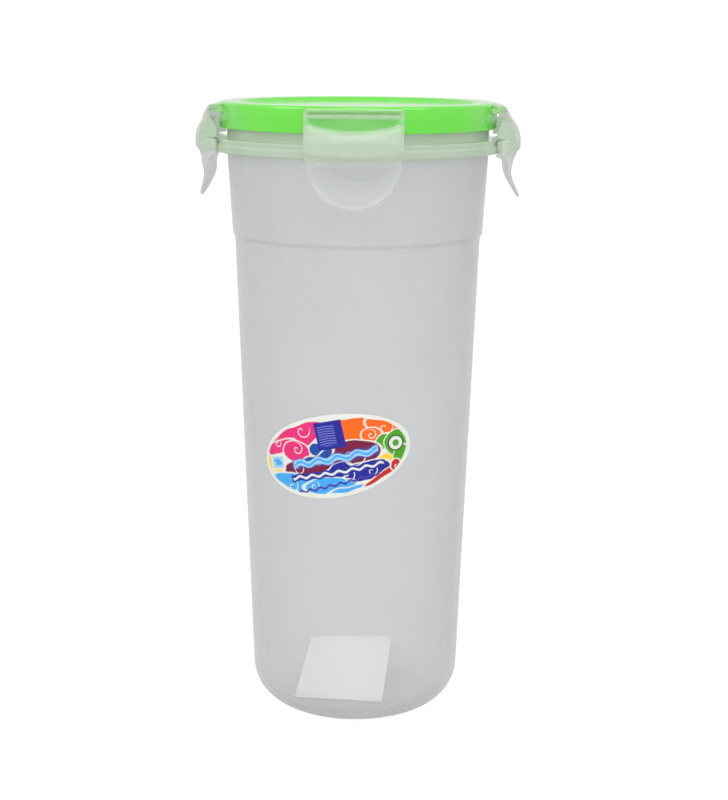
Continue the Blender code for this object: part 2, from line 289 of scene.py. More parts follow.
def noise(tree, scale, detail=2.0, roughness=0.5):
    """Smooth noise fixed to the object."""
    coordinates = add_node(tree, "ShaderNodeTexCoord")
    node = add_node(tree, "ShaderNodeTexNoise")
    node.inputs["Scale"].default_value = scale
    node.inputs["Detail"].default_value = detail
    node.inputs["Roughness"].default_value = roughness
    tree.links.new(coordinates.outputs["Object"], node.inputs["Vector"])
    return node.outputs["Fac"]


def spread(tree, source, low, high):
    """Maps the middle of a noise onto a range."""
    node = add_node(tree, "ShaderNodeMapRange")
    node.inputs["From Min"].default_value = 0.3
    node.inputs["From Max"].default_value = 0.7
    node.inputs["To Min"].default_value = low
    node.inputs["To Max"].default_value = high
    tree.links.new(source, node.inputs["Value"])
    return node.outputs["Result"]


def mix_colours(tree, factor, first, second):
    """From first to second by a factor; each colour is a tuple or a socket."""
    node = add_node(tree, "ShaderNodeMix", data_type="RGBA")
    for socket, value in ((node.inputs[6], first), (node.inputs[7], second)):
        if isinstance(value, tuple):
            socket.default_value = (*value, 1.0)
        else:
            tree.links.new(value, socket)
    tree.links.new(factor, node.inputs[0])
    return node.outputs[2]


def add_bump(tree, shader, height, strength, distance):
    """Fine relief in the shader's normal; distance is in metres."""
    bump = add_node(tree, "ShaderNodeBump")
    bump.inputs["Strength"].default_value = strength
    bump.inputs["Distance"].default_value = distance
    tree.links.new(height, bump.inputs["Height"])
    tree.links.new(bump.outputs["Normal"], shader.inputs["Normal"])


def height_ramp(tree, low, high):
    """0 below one height of the object and 1 above another, in millimetres."""
    coordinates = add_node(tree, "ShaderNodeTexCoord")
    split = add_node(tree, "ShaderNodeSeparateXYZ")
    tree.links.new(coordinates.outputs["Object"], split.inputs["Vector"])
    ramp = add_node(tree, "ShaderNodeMapRange", interpolation_type="SMOOTHSTEP")
    ramp.inputs["From Min"].default_value = low * MM
    ramp.inputs["From Max"].default_value = high * MM
    tree.links.new(split.outputs["Z"], ramp.inputs["Value"])
    return ramp.outputs["Result"]


def plastic(name, colour, shade, roughness, ripple=0.15, subsurface=0.0, coat=0.0, upper=None):
    """Moulded plastic: cloudy colour drift, slightly uneven gloss and a fine moulded ripple.

    upper is (colour, low, high) for a piece whose colour turns to another between two heights.
    """
    material, tree, shader = new_material(name)
    cloud = noise(tree, 45.0, 3.0)
    drift = mix_colours(tree, spread(tree, cloud, 0.0, 1.0), colour, shade)
    if upper:
        drift = mix_colours(tree, height_ramp(tree, *upper[1:]), drift, upper[0])
    tree.links.new(drift, shader.inputs["Base Color"])
    grain = noise(tree, 380.0, 2.0)
    tree.links.new(spread(tree, grain, roughness * 0.85, roughness * 1.2), shader.inputs["Roughness"])
    shader.inputs["IOR"].default_value = 1.49
    shader.inputs["Coat Weight"].default_value = coat
    shader.inputs["Coat Roughness"].default_value = 0.06
    if subsurface:
        shader.inputs["Subsurface Weight"].default_value = subsurface
        shader.inputs["Subsurface Radius"].default_value = (0.6, 1.0, 0.4)
        shader.inputs["Subsurface Scale"].default_value = 0.002
    add_bump(tree, shader, noise(tree, 130.0, 2.0), ripple, 0.00012)
    return material


class Field:
    """A number that varies over a surface, built of Math nodes with ordinary operators."""

    def __init__(self, tree, socket):
        self.tree = tree
        self.socket = socket

    @staticmethod
    def of(tree, number):
        node = add_node(tree, "ShaderNodeValue")
        node.outputs[0].default_value = number
        return Field(tree, node.outputs[0])

    def _math(self, operation, *others, clamp=False):
        node = add_node(self.tree, "ShaderNodeMath", operation=operation, use_clamp=clamp)
        for i, value in enumerate((self, *others)):
            if isinstance(value, Field):
                self.tree.links.new(value.socket, node.inputs[i])
            else:
                node.inputs[i].default_value = value
        return Field(self.tree, node.outputs[0])

    def __add__(self, other):
        return self._math("ADD", other)

    def __sub__(self, other):
        return self._math("SUBTRACT", other)

    def __mul__(self, other):
        return self._math("MULTIPLY", other)

    def __truediv__(self, other):
        return self._math("DIVIDE", other)

    def to_power(self, other):
        return self._math("POWER", other)

    def wave(self):
        return self._math("SINE")

    def size(self):
        return self._math("ABSOLUTE")

    def root(self):
        return self._math("SQRT")

    def angle_with(self, other):
        return self._math("ARCTAN2", other)

    def at_least(self, other):
        return self._math("MAXIMUM", other)

    def at_most(self, other):
        return self._math("MINIMUM", other)

    def wrapped(self, low, high):
        return self._math("WRAP", high, low)

    def below(self, edge, soft):
        """1 where the number is under edge, 0 where it is over, with a soft border."""
        return ((self * -1.0 + edge) / soft + 0.5)._math("ADD", 0.0, clamp=True)


# ---------------------------------------------------------------------------- materials

def make_materials():
    """Every material of the object, by what it is for."""
    jar, frame_plastic, latch = make_clear_materials()
    return {
        "jar": jar,
        "frame": frame_plastic,
        "latch": latch,
        "cover": plastic("cover_green", (0.11, 0.60, 0.035), (0.13, 0.64, 0.045), 0.20,
                         subsurface=0.25, ripple=0.1, coat=0.6),
        "gasket": plastic("gasket_silicone", (0.82, 0.83, 0.82), (0.88, 0.88, 0.87), 0.5),
        "sticker": sticker_material(),
        "paper": paper_material(),
    }


def milky(material, haze, most_slant):
    """Lets a plastic show what is behind it. haze is the share that one surface of a wall hides when it
    is looked at straight: a number, or a field. A slanted look passes through more plastic, so it hides
    more, as in any cloudy sheet, down to most_slant, the cosine of the most slanted look that counts."""
    tree = material.node_tree
    slant = Field(tree, add_node(tree, "ShaderNodeLayerWeight").outputs["Facing"])
    straight = (slant * -1.0 + 1.0).at_least(most_slant)
    clear = (Field.of(tree, 1.0) - haze).to_power(Field.of(tree, 1.0) / straight)
    hidden = Field.of(tree, 1.0) - clear
    tree.links.new(hidden.socket, tree.nodes["Principled BSDF"].inputs["Alpha"])
    return material


def haze_field(material):
    """The haze that a piece's mesh carries."""
    tree = material.node_tree
    return Field(tree, add_node(tree, "ShaderNodeAttribute", attribute_name="haze").outputs["Fac"])


def haze_by_height(material, low_haze, high_haze, low, high):
    """A haze that turns from one value to another between two heights in millimetres."""
    tree = material.node_tree
    return Field(tree, height_ramp(tree, low, high)) * (high_haze - low_haze) + low_haze


def make_clear_materials():
    """The three cloudy plastics. Each is painted greener near the lid, as painted green light from the
    green lid.
    """
    neck_start, neck_end = 200.5, 204.0
    # Painted green light and painted shade: the jar's neck and flange turn greener and a little darker
    # under the green lid.
    jar = plastic("jar_polypropylene", (0.56, 0.57, 0.585), (0.59, 0.60, 0.615), 0.07, ripple=0.03,
                  coat=0.3, upper=((0.47, 0.58, 0.43), neck_start, neck_end))
    # Painted green light: the frame's plate and lugs turn green where the green lid's light shows through
    # them.
    frame_plastic = plastic("frame_polypropylene", (0.60, 0.72, 0.55), (0.64, 0.76, 0.59), 0.15,
                            ripple=0.03, coat=0.5, upper=((0.27, 0.66, 0.17), 216.0, 216.6))
    # Painted green light: the latch's upper part turns greener where the green lid shines into it.
    latch = plastic("latch_polypropylene", (0.56, 0.58, 0.57), (0.59, 0.61, 0.60), 0.26, ripple=0.03,
                    coat=0.1, upper=((0.53, 0.63, 0.50), 199.0, 205.0))
    wall_haze = haze_by_height(jar, 0.20, 0.30, 120.0, 185.0)
    neck_haze = haze_by_height(jar, 0.0, 0.15, neck_start, neck_end)
    milky(jar, wall_haze + neck_haze, 0.12)
    milky(frame_plastic, haze_by_height(frame_plastic, 0.35, 0.50, 215.5, 216.4), 0.30)
    milky(latch, haze_field(latch), 0.45)
    latch.node_tree.nodes["Principled BSDF"].inputs["Specular IOR Level"].default_value = 0.25
    return jar, frame_plastic, latch


def paper_material():
    """Plain matt paper: faint fibres in colour and relief."""
    material, tree, shader = new_material("slip_paper")
    fibres = noise(tree, 900.0, 6.0, 0.7)
    tree.links.new(mix_colours(tree, spread(tree, fibres, 0.0, 1.0), (0.80, 0.83, 0.77),
                               (0.85, 0.87, 0.81)), shader.inputs["Base Color"])
    tree.links.new(spread(tree, noise(tree, 300.0), 0.75, 0.9), shader.inputs["Roughness"])
    add_bump(tree, shader, fibres, 0.3, 0.00005)
    return material


# Sticker: its place on the wall, and its print in millimetres from its centre, u along it and v across
STICKER_Z = 101.6
STICKER_AZIMUTH = math.radians(-10.1)
STICKER_TILT = math.radians(11.3)
HALF_LENGTH = 27.8
HALF_HEIGHT = 14.6
WHITE = (0.67, 0.70, 0.64)
PINK = (0.70, 0.02, 0.16)
ORANGE = (0.90, 0.12, 0.003)
GREEN = (0.06, 0.32, 0.005)
MAROON = (0.17, 0.006, 0.04)
NAVY = (0.012, 0.016, 0.27)
BLUE = (0.008, 0.06, 0.32)
SKY = (0.05, 0.34, 0.74)
PALE_BLUE = (0.30, 0.55, 0.78)
YELLOW = (0.82, 0.55, 0.04)
RED = (0.50, 0.015, 0.015)
BLACK = (0.02, 0.02, 0.03)
VIOLET = (0.06, 0.03, 0.30)
LILAC = (0.16, 0.18, 0.52)
INK_EDGE = 0.25         # softness of a printed edge
BORDER = 1.5            # unprinted border

# Ovals of the print: centre u, centre v, half length, half height, turn in degrees, colour
OVALS = [
    (-21.4, -3.8, 6.6, 4.0, -20.0, YELLOW),
    (-25.0, 1.0, 2.4, 4.0, -10.0, YELLOW),
    (18.2, -4.2, 3.4, 1.9, 8.0, YELLOW),
    (-13.0, 8.2, 12.4, 4.6, 14.0, PINK),
    (-19.6, 5.2, 6.6, 2.1, 14.0, PINK),
    (-13.0, 3.2, 5.2, 3.7, -12.0, PINK),
    (9.5, 8.4, 9.5, 4.0, -4.0, ORANGE),
    (19.4, 7.4, 6.4, 2.7, -26.0, ORANGE),
    (14.6, 5.2, 3.4, 2.2, 0.0, ORANGE),
    (18.4, 2.0, 3.4, 2.4, 30.0, GREEN),
    (23.2, 0.4, 4.6, 4.6, 0.0, GREEN),
    (23.6, -4.0, 2.6, 3.4, -25.0, GREEN),
    (-9.6, -2.6, 9.4, 2.9, 3.0, MAROON),
    (7.2, 0.2, 9.6, 4.4, -4.0, MAROON),
    (9.6, -6.8, 9.4, 3.4, 2.0, NAVY),
    (1.4, -5.0, 4.2, 2.4, 20.0, NAVY),
    (-12.4, -8.6, 12.6, 2.9, -17.0, SKY),
    (-3.0, -10.2, 9.0, 2.9, -3.0, SKY),
    (3.6, -12.6, 6.4, 1.2, 6.0, SKY),
    (15.4, -10.2, 7.4, 1.3, 22.0, RED),
    (21.2, -7.4, 1.9, 2.0, 0.0, RED),
    (-5.4, 3.2, 2.2, 2.1, 0.0, BLUE),
    (-2.6, 0.8, 3.6, 1.3, 30.0, BLUE),
    (-8.2, -0.2, 2.4, 1.1, 0.0, BLUE),
]
# Thin curls: centre u, centre v, outer radius, turns of the spiral
CURLS = [
    (-12.4, 4.0, 2.4, 1.2), (-9.0, 10.2, 3.0, 1.0), (14.6, 5.2, 1.9, 1.2), (19.6, 6.6, 2.9, 1.0),
    (6.8, -0.8, 4.9, 1.0), (-13.4, -3.0, 2.4, 1.1), (4.0, -7.6, 2.9, 1.2), (-17.0, -8.8, 2.6, 1.2),
    (-8.4, -9.6, 2.0, 1.1), (21.2, -7.6, 0.9, 0.9), (12.6, -7.4, 2.2, 1.2), (-20.4, 6.4, 1.6, 1.1),
]
# Wavy lines: height, slope, bend, pitch, half width, left end, right end, strength, colour
WAVES = [
    (-0.9, 0.035, 0.25, 0.9, 1.9, -15.5, 16.2, 0.55, BLUE),
    (-0.9, 0.035, 0.55, 0.9, 1.15, -15.0, 16.0, 1.0, PALE_BLUE),
    (-0.9, 0.035, 0.75, 0.9, 0.45, -14.6, 15.6, 1.0, SKY),
    (-5.8, 0.02, 0.25, 1.3, 1.25, -16.8, 17.6, 1.0, NAVY),
    (-5.8, 0.02, 0.45, 1.3, 0.42, -16.2, 17.0, 1.0, WHITE),
    (-10.0, 0.09, 0.40, 1.7, 0.40, -16.0, 16.0, 1.0, VIOLET),
]


def oval_distance(u, v, centre_u, centre_v, length, height, turn):
    """About the distance in millimetres inside (below 0) or outside an oval."""
    c, s = math.cos(math.radians(turn)), math.sin(math.radians(turn))
    du, dv = u - centre_u, v - centre_v
    a = (du * c + dv * s) / length
    b = (dv * c - du * s) / height
    return ((a * a + b * b).root() - 1.0) * min(length, height)


def sticker_print(tree, u, v):
    """The colour of a generic print: bright ovals, white curls, a square, a tile, waves and a ring."""
    colour = WHITE

    def paint(mask, ink):
        nonlocal colour
        colour = mix_colours(tree, mask.socket, colour, ink)

    def wavy_line(height, slope, bend, pitch, half_width, left, right):
        """A soft-edged line that waves about v = height + slope * u, between two values of u."""
        line = (v - u * slope - (u * pitch).wave() * bend - height).size().below(half_width, 0.3)
        return line * (u - (left + right) / 2).size().below((right - left) / 2, 0.6)

    wobble = Field(tree, noise(tree, 160.0, 1.0)) - 0.5
    wavy_u, wavy_v = u + wobble * 1.6, v - wobble * 1.6
    for *oval, ink in OVALS:
        away = oval_distance(wavy_u, wavy_v, *oval)
        paint(away.below(0.40, INK_EDGE), WHITE)
        paint(away.below(0.0, INK_EDGE), ink)
    for centre_u, centre_v, radius, turns in CURLS:
        du, dv = u - centre_u, v - centre_v
        distance = (du * du + dv * dv).root()
        pitch = radius / turns
        phase = dv.angle_with(du) / (2.0 * math.pi) * pitch
        arm = (distance - phase).wrapped(-pitch / 2, pitch / 2).size().below(0.17, 0.16)
        paint(arm * distance.below(radius, 0.2), WHITE)

    # A dark square with woven lines, a little askew
    slant_u, slant_v = u + v * 0.02 - 0.8, v - u * 0.02 - 7.5
    square = slant_u.size().at_least(slant_v.size())
    paint(square.below(4.9, INK_EDGE), NAVY)
    weave = ((slant_v * 7.4 + (slant_u * 1.3).wave() * 0.8).wave() + 0.35).below(0.0, 0.5)
    paint(weave * (slant_u + 1.0).size().below(3.0, 0.3) * slant_v.size().below(3.6, 0.3), LILAC)

    # A small pale tile with a waving patch
    tile_u, tile_v = u + 21.8, v + 0.2
    tile = (tile_u / 1.25).size().at_least(tile_v.size())
    paint(tile.below(2.6, INK_EDGE), WHITE)
    paint(tile.below(2.0, INK_EDGE), PALE_BLUE)
    patch = ((tile_u + (v * 2.6).wave() * 0.5) / 1.3).size().at_least(tile_v.size())
    paint(patch.below(1.1, 0.4), SKY)

    for *line, strength, ink in WAVES:
        paint(wavy_line(*line) * strength, ink)

    # A ring mark
    du, dv = u - 22.4, v - 0.4
    ring = (du * du + dv * dv).root()
    paint(ring.below(2.8, INK_EDGE), BLACK)
    paint((ring - 1.75).size().below(0.62, INK_EDGE), WHITE)
    paint(ring.below(1.0, INK_EDGE), GREEN)

    # The unprinted border
    u_share, v_share = u / HALF_LENGTH, v / HALF_HEIGHT
    rim = (u_share * u_share + v_share * v_share).root().at_least(0.05)
    reach = (u * u + v * v).root()
    to_edge = reach / rim - reach + (u * 0.7).wave() * 0.25
    paint(to_edge.below(BORDER, 0.3), WHITE)
    return colour


def sticker_material():
    """A printed film: cream paper, inks and a slightly uneven gloss."""
    material, tree, shader = new_material("sticker_film")
    uv = add_node(tree, "ShaderNodeUVMap", uv_map="print")
    split = add_node(tree, "ShaderNodeSeparateXYZ")
    tree.links.new(uv.outputs["UV"], split.inputs["Vector"])
    u = (Field(tree, split.outputs["X"]) - 0.5) * (2.0 * HALF_LENGTH)
    v = (Field(tree, split.outputs["Y"]) - 0.5) * (2.0 * HALF_HEIGHT)
    tree.links.new(sticker_print(tree, u, v), shader.inputs["Base Color"])
    tree.links.new(spread(tree, noise(tree, 500.0), 0.22, 0.34), shader.inputs["Roughness"])
    shader.inputs["Specular IOR Level"].default_value = 0.3
    add_bump(tree, shader, noise(tree, 260.0), 0.15, 0.00005)
    return material


# ---------------------------------------------------------------------------- jar

def wall_radius(z):
    """The outer radius of the tapered wall below the step."""
    return FOOT_RADIUS + BASE_FILLET + TAPER * (z - BASE_FILLET)


def build_jar(material):
    """One turned moulding: foot ring, rounded base, tapered wall, step, flange, neck and mouth."""
    lean = math.degrees(math.atan(TAPER))
    step_low, step_high = STEP_Z - STEP_HALF_HEIGHT, STEP_Z + STEP_HALF_HEIGHT
    upper_start = wall_radius(step_high) + STEP_OUT
    ledge_low, ledge_high, ledge_radius = 205.3, 205.8, FLANGE_RADIUS - 0.6
    base = arc((FOOT_RADIUS, BASE_FILLET), BASE_FILLET, -90.0, -lean, 28)
    inside = arc((FOOT_RADIUS, FLOOR_TOP + FLOOR_FILLET), FLOOR_FILLET, -lean, -90.0, 28)
    # The underside: an injection mark, a groove and the foot ring
    foot = rounded([(0.0, 0.5, 0.0), (1.6, 0.5, 0.2), (1.8, 0.8, 0.2), (15.6, 0.8, 0.0), (16.0, 0.6, 0.2),
                    (16.4, 0.8, 0.0), (18.7, 0.8, 0.5), (19.5, 0.0, 0.5), (FOOT_RADIUS - 0.5, 0.0, 0.0)])
    outside = rounded([
        (*base[-1], 0.0),
        (wall_radius(step_low), step_low, 0.35),
        (upper_start, step_high, 0.35),
        (NECK_RADIUS, FLANGE_BOTTOM, 0.9),
        (FLANGE_RADIUS, FLANGE_BOTTOM, 0.8),
        (FLANGE_RADIUS, ledge_low, 0.35),
        (ledge_radius, ledge_high, 0.35),
        (ledge_radius, FLANGE_TOP, 0.7),
        (NECK_RADIUS, FLANGE_TOP, 0.7),
        (NECK_RADIUS, MOUTH_Z, 0.6),
        (MOUTH_RADIUS, MOUTH_Z, 0.6),
        (NECK_RADIUS - WALL, FLANGE_BOTTOM, 3.0),
        (upper_start - WALL, step_high, 1.0),
        (wall_radius(step_low) - WALL, step_low, 1.0),
        (*inside[0], 0.0),
    ])
    outline = foot + base + outside[1:-1] + inside + [(0.0, FLOOR_TOP)]
    return finish_mesh("canister_shell", turned(outline), material)


def build_sticker(material):
    """A thin oval film that hugs the tapered wall, with its print coordinates stored as a UV map."""
    rings, spokes = 26, 128
    low_offset, high_offset, edge_drop = 0.04, 0.20, 0.05
    c, s = math.cos(STICKER_TILT), math.sin(STICKER_TILT)
    bm = bmesh.new()
    layer = bm.loops.layers.uv.new("print")
    places = {}

    def point(ring, spoke, offset):
        angle = 2.0 * math.pi * spoke / spokes
        along = math.cos(angle) * ring / rings
        across = math.sin(angle) * ring / rings
        u = along * HALF_LENGTH * c - across * HALF_HEIGHT * s
        z = STICKER_Z + along * HALF_LENGTH * s + across * HALF_HEIGHT * c
        azimuth = STICKER_AZIMUTH + u / wall_radius(STICKER_Z)
        r = wall_radius(z) + offset
        vert = bm.verts.new((r * math.sin(azimuth), -r * math.cos(azimuth), z))
        places[vert] = (0.5 + along / 2, 0.5 + across / 2)
        return vert

    borders = []
    for offset in (low_offset, high_offset):
        inner = [point(0, 0, offset)]
        for ring in range(1, rings + 1):
            lift = offset - edge_drop if ring == rings and offset == high_offset else offset
            outer = [point(ring, spoke, lift) for spoke in range(spokes)]
            for i in range(spokes):
                j = (i + 1) % spokes
                corners = [inner[i % len(inner)], outer[i], outer[j], inner[j % len(inner)]]
                bm.faces.new(list(dict.fromkeys(corners)))
            inner = outer
        borders.append(inner)
    for i in range(spokes):
        j = (i + 1) % spokes
        bm.faces.new([borders[0][i], borders[0][j], borders[1][j], borders[1][i]])
    for face in bm.faces:
        for loop in face.loops:
            loop[layer].uv = places[loop.vert]
    return finish_mesh("printed_sticker", bm, material)


def build_slip(material):
    """A loose paper slip, slightly curled, leaning from the floor onto the rounding at the back."""
    corners = [Vector(corner) for corner in SLIP_CORNERS]
    columns, rows, thickness = 24, 36, 0.25
    sag_at_middle, crown = 1.1, 0.35
    bm = bmesh.new()
    sheets = []
    for lift in (0.0, thickness):
        grid = []
        for row in range(rows + 1):
            t = row / rows
            line = []
            for column in range(columns + 1):
                s = column / columns
                near = corners[0].lerp(corners[1], s)
                far = corners[3].lerp(corners[2], s)
                curl = (crown * math.sin(math.pi * s) - sag_at_middle * math.sin(math.pi * t)) * t
                line.append(bm.verts.new(near.lerp(far, t) + Vector((0.0, 0.0, curl + lift))))
            grid.append(line)
        sheets.append(grid)
    for grid in sheets:
        for row in range(rows):
            for column in range(columns):
                bm.faces.new([grid[row][column], grid[row][column + 1],
                              grid[row + 1][column + 1], grid[row + 1][column]])
    low, high = sheets
    rims = []
    for grid in (low, high):
        rim = grid[0][:-1] + [line[-1] for line in grid[:-1]]
        rim += grid[-1][:0:-1] + [line[0] for line in grid[:0:-1]]
        rims.append(rim)
    for i in range(len(rims[0])):
        j = (i + 1) % len(rims[0])
        bm.faces.new([rims[0][i], rims[0][j], rims[1][j], rims[1][i]])
    return finish_mesh("loose_paper_slip", bm, material)


# ---------------------------------------------------------------------------- lid

def side_rotation(side):
    return Matrix.Rotation(math.radians(SIDES[side]), 4, "Z")


def turn_to_side(obj, side):
    """Turns a mesh that was made at azimuth 0 to its side."""
    obj.data.transform(side_rotation(side))
    return obj


def lug_sections():
    """Cross-sections of a hinge lug along its length: a stem through the slot and a rounded head."""
    sections = []
    count = 40
    end_round = 0.5
    for i in range(count + 1):
        y = LUG_HALF_WIDTH * math.sin(math.pi / 2 * (2.0 * i / count - 1.0))
        wall = math.sqrt((COVER_RADIUS + 0.12) ** 2 - y * y)
        from_end = LUG_HALF_WIDTH - abs(y)
        inset = 0.0
        if from_end < end_round:
            inset = end_round - math.sqrt(end_round**2 - (end_round - from_end) ** 2)
        corners = [(STEM_START, LUG_BOTTOM, 0.0), (LUG_FACE - inset, LUG_BOTTOM, 0.4),
                   (LUG_FACE - inset, LUG_TOP - inset, 0.5), (wall + 0.02, LUG_RIDGE - inset, 0.35),
                   (wall, STEM_TOP, 0.0), (STEM_START, STEM_TOP, 0.0)]
        sections.append([(x, y, z) for x, z in rounded(corners)])
    return sections


def build_frame(material):
    """The translucent moulding under the cover: plate, plug wall, gasket channel and four lugs."""
    outline = rounded([
        (0.0, PLATE_BOTTOM, 0.0), (30.0, PLATE_BOTTOM, 0.0), (PLUG_INNER - 0.1, PLATE_BOTTOM, 0.8),
        (PLUG_INNER, PLUG_BOTTOM, 0.6), (PLUG_OUTER, PLUG_BOTTOM, 0.6),
        (PLUG_OUTER + 0.2, PLATE_BOTTOM, 0.4),
        (CHANNEL_RADIUS, PLATE_BOTTOM, 0.3), (CHANNEL_RADIUS, FRAME_BOTTOM, 0.2),
        (FRAME_RADIUS, FRAME_BOTTOM, 0.2), (FRAME_RADIUS, PLATE_TOP, 0.3),
        (30.0, PLATE_TOP, 0.0), (0.0, PLATE_TOP, 0.0),
    ])
    lid_frame = finish_mesh("lid_frame_moulding", turned(outline), material)
    for side in SIDES:
        lug = turn_to_side(finish_mesh("lug_" + side, loft(lug_sections()), material), side)
        apply_cut(lid_frame, lug, "UNION")
    return lid_frame


def build_cover(material):
    """The green cap: a raised rim, a recessed centre and a slot for each lug's stem."""
    outline = rounded([
        (0.0, COVER_UNDERSIDE, 0.0), (COVER_INNER, COVER_UNDERSIDE, 0.5), (COVER_INNER, COVER_BOTTOM, 0.4),
        (COVER_RADIUS, COVER_BOTTOM, 0.4), (COVER_RADIUS, LID_TOP, 1.1), (RIM_INNER, LID_TOP, 0.9),
        (RECESS_RADIUS, RECESS_FLOOR, 0.9), (34.0, RECESS_FLOOR, 0.0), (0.0, RECESS_FLOOR, 0.0),
    ])
    cover = finish_mesh("lid_cover_cap", turned(outline), material)
    half = LUG_HALF_WIDTH + 0.25
    low, high, start, end = LUG_BOTTOM - 0.25, STEM_TOP + 0.25, STEM_START - 0.2, 50.0
    ring = [(start, low), (end, low), (end, high), (start, high)]
    for side in SIDES:
        bar = loft([[(x, y, z) for x, z in ring] for y in (-half, half)])
        slot = turn_to_side(finish_mesh("slot_" + side, bar, material), side)
        apply_cut(cover, slot, "DIFFERENCE")
    cover.data.shade_smooth()
    cover.data.set_sharp_from_angle(angle=SHARP_ANGLE)
    return cover


def build_gasket(material):
    """The soft ring between the lid and the mouth."""
    inner, outer, low, high = 44.2, 46.1, 214.7, 216.1
    start = (inner, 215.3, 0.0)
    outline = rounded([start, (inner, low, 0.3), (outer, low, 0.3), (outer, high, 0.4),
                       (inner, high, 0.4), start])
    return finish_mesh("gasket_ring", turned(outline[:-1]), material)


# ---------------------------------------------------------------------------- latches

def latch_inner(z):
    """The inner face's depth: thin skin above, then the hook block, its toe and the tail."""
    toe_z, toe_x = TAIL_INNER[0]
    if z < toe_z:
        return curve_through(TAIL_INNER, z)
    if z < HOOK_TOE_Z:
        return toe_x + (HOOK_FACE - toe_x) * smoothstep(toe_z, HOOK_TOE_Z, z)
    skin = max(curve_through(LATCH_OUTER, z) - SKIN, LATCH_ROOT)
    return HOOK_FACE + (skin - HOOK_FACE) * smoothstep(*HOOK_FADE, z)


def bow_share(z):
    """Seen from above: 0 at the hinge, where the latch is straight, to 1 where it bends round the jar."""
    return smoothstep(217.1, 210.0, z) * (0.6 + 0.4 * smoothstep(199.8, 203.2, z))


def bowed(x, y, z):
    """x of a face at y to one side, where the same face has x at the latch's middle."""
    return x - bow_share(z) * (x - math.sqrt(x * x - y * y))


def step_height(y, z):
    """The height to read the outer curve at: the plate's lower edge dips towards the middle."""
    dip = 1.2 * (1.0 - (y / LATCH_HALF_WIDTH) ** 2)
    return z + dip * smoothstep(198.0, 202.5, z) * (1.0 - smoothstep(205.0, 209.5, z))


def rib_share(z):
    """1 where the ribs down the latch's two sides reach in as far as they go, between hook and hinge."""
    return smoothstep(207.5, 208.3, z) * (1.0 - smoothstep(214.6, 216.2, z))


def latch_half_width(z):
    """Half the latch's width: the plate above, narrower below its corners, and the round tab."""
    if z >= TAB_CENTRE_Z:
        return TAB_RADIUS + (LATCH_HALF_WIDTH - TAB_RADIUS) * smoothstep(CORNER_LOW_Z, CORNER_HIGH_Z, z)
    return math.sqrt(max(TAB_RADIUS**2 - (TAB_CENTRE_Z - z) ** 2, 0.0))


def latch_haze_and_highlight(y, z, depth):
    """How cloudy the latch is: clear where the skin is thin, cloudy at the hook, bead and edges; the
    knee's cloudy band is a painted highlight.
    """
    across = (y / LATCH_HALF_WIDTH) ** 2
    hook = smoothstep(199.5 - 1.5 * (1.0 - across), 205.0, z)
    hook *= 1.0 - smoothstep(211.0 + 2.5 * across, 213.5 + 2.5 * across, z)
    # Painted highlight: a cloudier band across the knee shows pale where light would catch the bend.
    painted_knee_highlight = smoothstep(215.8, 216.6, z) * (1.0 - smoothstep(217.2, 217.8, z))
    bead = (1.0 - smoothstep(199.5, 203.0, z)) * math.sin(math.pi * min(depth / 2.2, 1.0)) ** 2
    edge = 1.0 - smoothstep(0.15, 0.6, depth)
    side = smoothstep(2.2, 0.8, depth) * smoothstep(205.0, 209.0, z)
    return max(0.07, 0.48 * hook, 0.28 * painted_knee_highlight, 0.22 * bead, 0.28 * edge, 0.22 * side)


def steps_down(start, end, step):
    """Heights from start down to end, step apart."""
    return [start - i * step for i in range(round((start - end) / step) + 1)]


def latch_levels():
    """Heights of the latch's rows of points, closest where its faces turn most."""
    levels = [LATCH_TOP - 0.02 - i * 0.55 for i in range(20)]
    levels += steps_down(208.2, 207.0, 0.2) + steps_down(206.7, 205.2, 0.3)
    levels += [204.9, 204.65] + steps_down(204.4, 203.2, 0.2) + [202.95, HOOK_TOE_Z, 202.65, 202.5, 202.35]
    levels += [TAB_CENTRE_Z - TAB_RADIUS * math.sin(math.radians(a)) for a in range(2, 87, 2)]
    return sorted(levels, reverse=True)


def edge_depth(y, z, half):
    """How far a place on the latch lies in from its outline."""
    depth = half - abs(y)
    if z < TAB_CENTRE_Z:
        depth = TAB_RADIUS - math.hypot(y, TAB_CENTRE_Z - z)
    return max(depth, 0.0)


def latch_faces(side, y, z, depth):
    """x of the outer and of the inner face at one place: bowed, ribbed, beaded and rounded at its edge."""
    skin_x = latch_inner(z)
    rib = smoothstep(RIB_START, RIB_START + RIB_FADE, abs(y)) * rib_share(z)
    outer_x = bowed(curve_through(LATCH_OUTER, step_height(y, z)), y, z)
    inner_x = bowed(skin_x + (RIB_FACE - skin_x) * rib, y, z)
    bend = TAB_BEND[side] * smoothstep(200.0, 187.0, z)
    pull = 0.0
    if depth < EDGE_ROUND:
        pull = EDGE_ROUND - math.sqrt(EDGE_ROUND**2 - (EDGE_ROUND - depth) ** 2)
    thin = min(pull, (outer_x - inner_x) * 0.45)
    tab_share = 1.0 - smoothstep(199.5, 204.0, z)
    bead = BEAD_HEIGHT * tab_share * math.sin(math.pi * min(depth / BEAD_WIDTH, 1.0)) ** 2
    return min(outer_x + bend + bead - thin, LATCH_REACH), inner_x + bend + thin


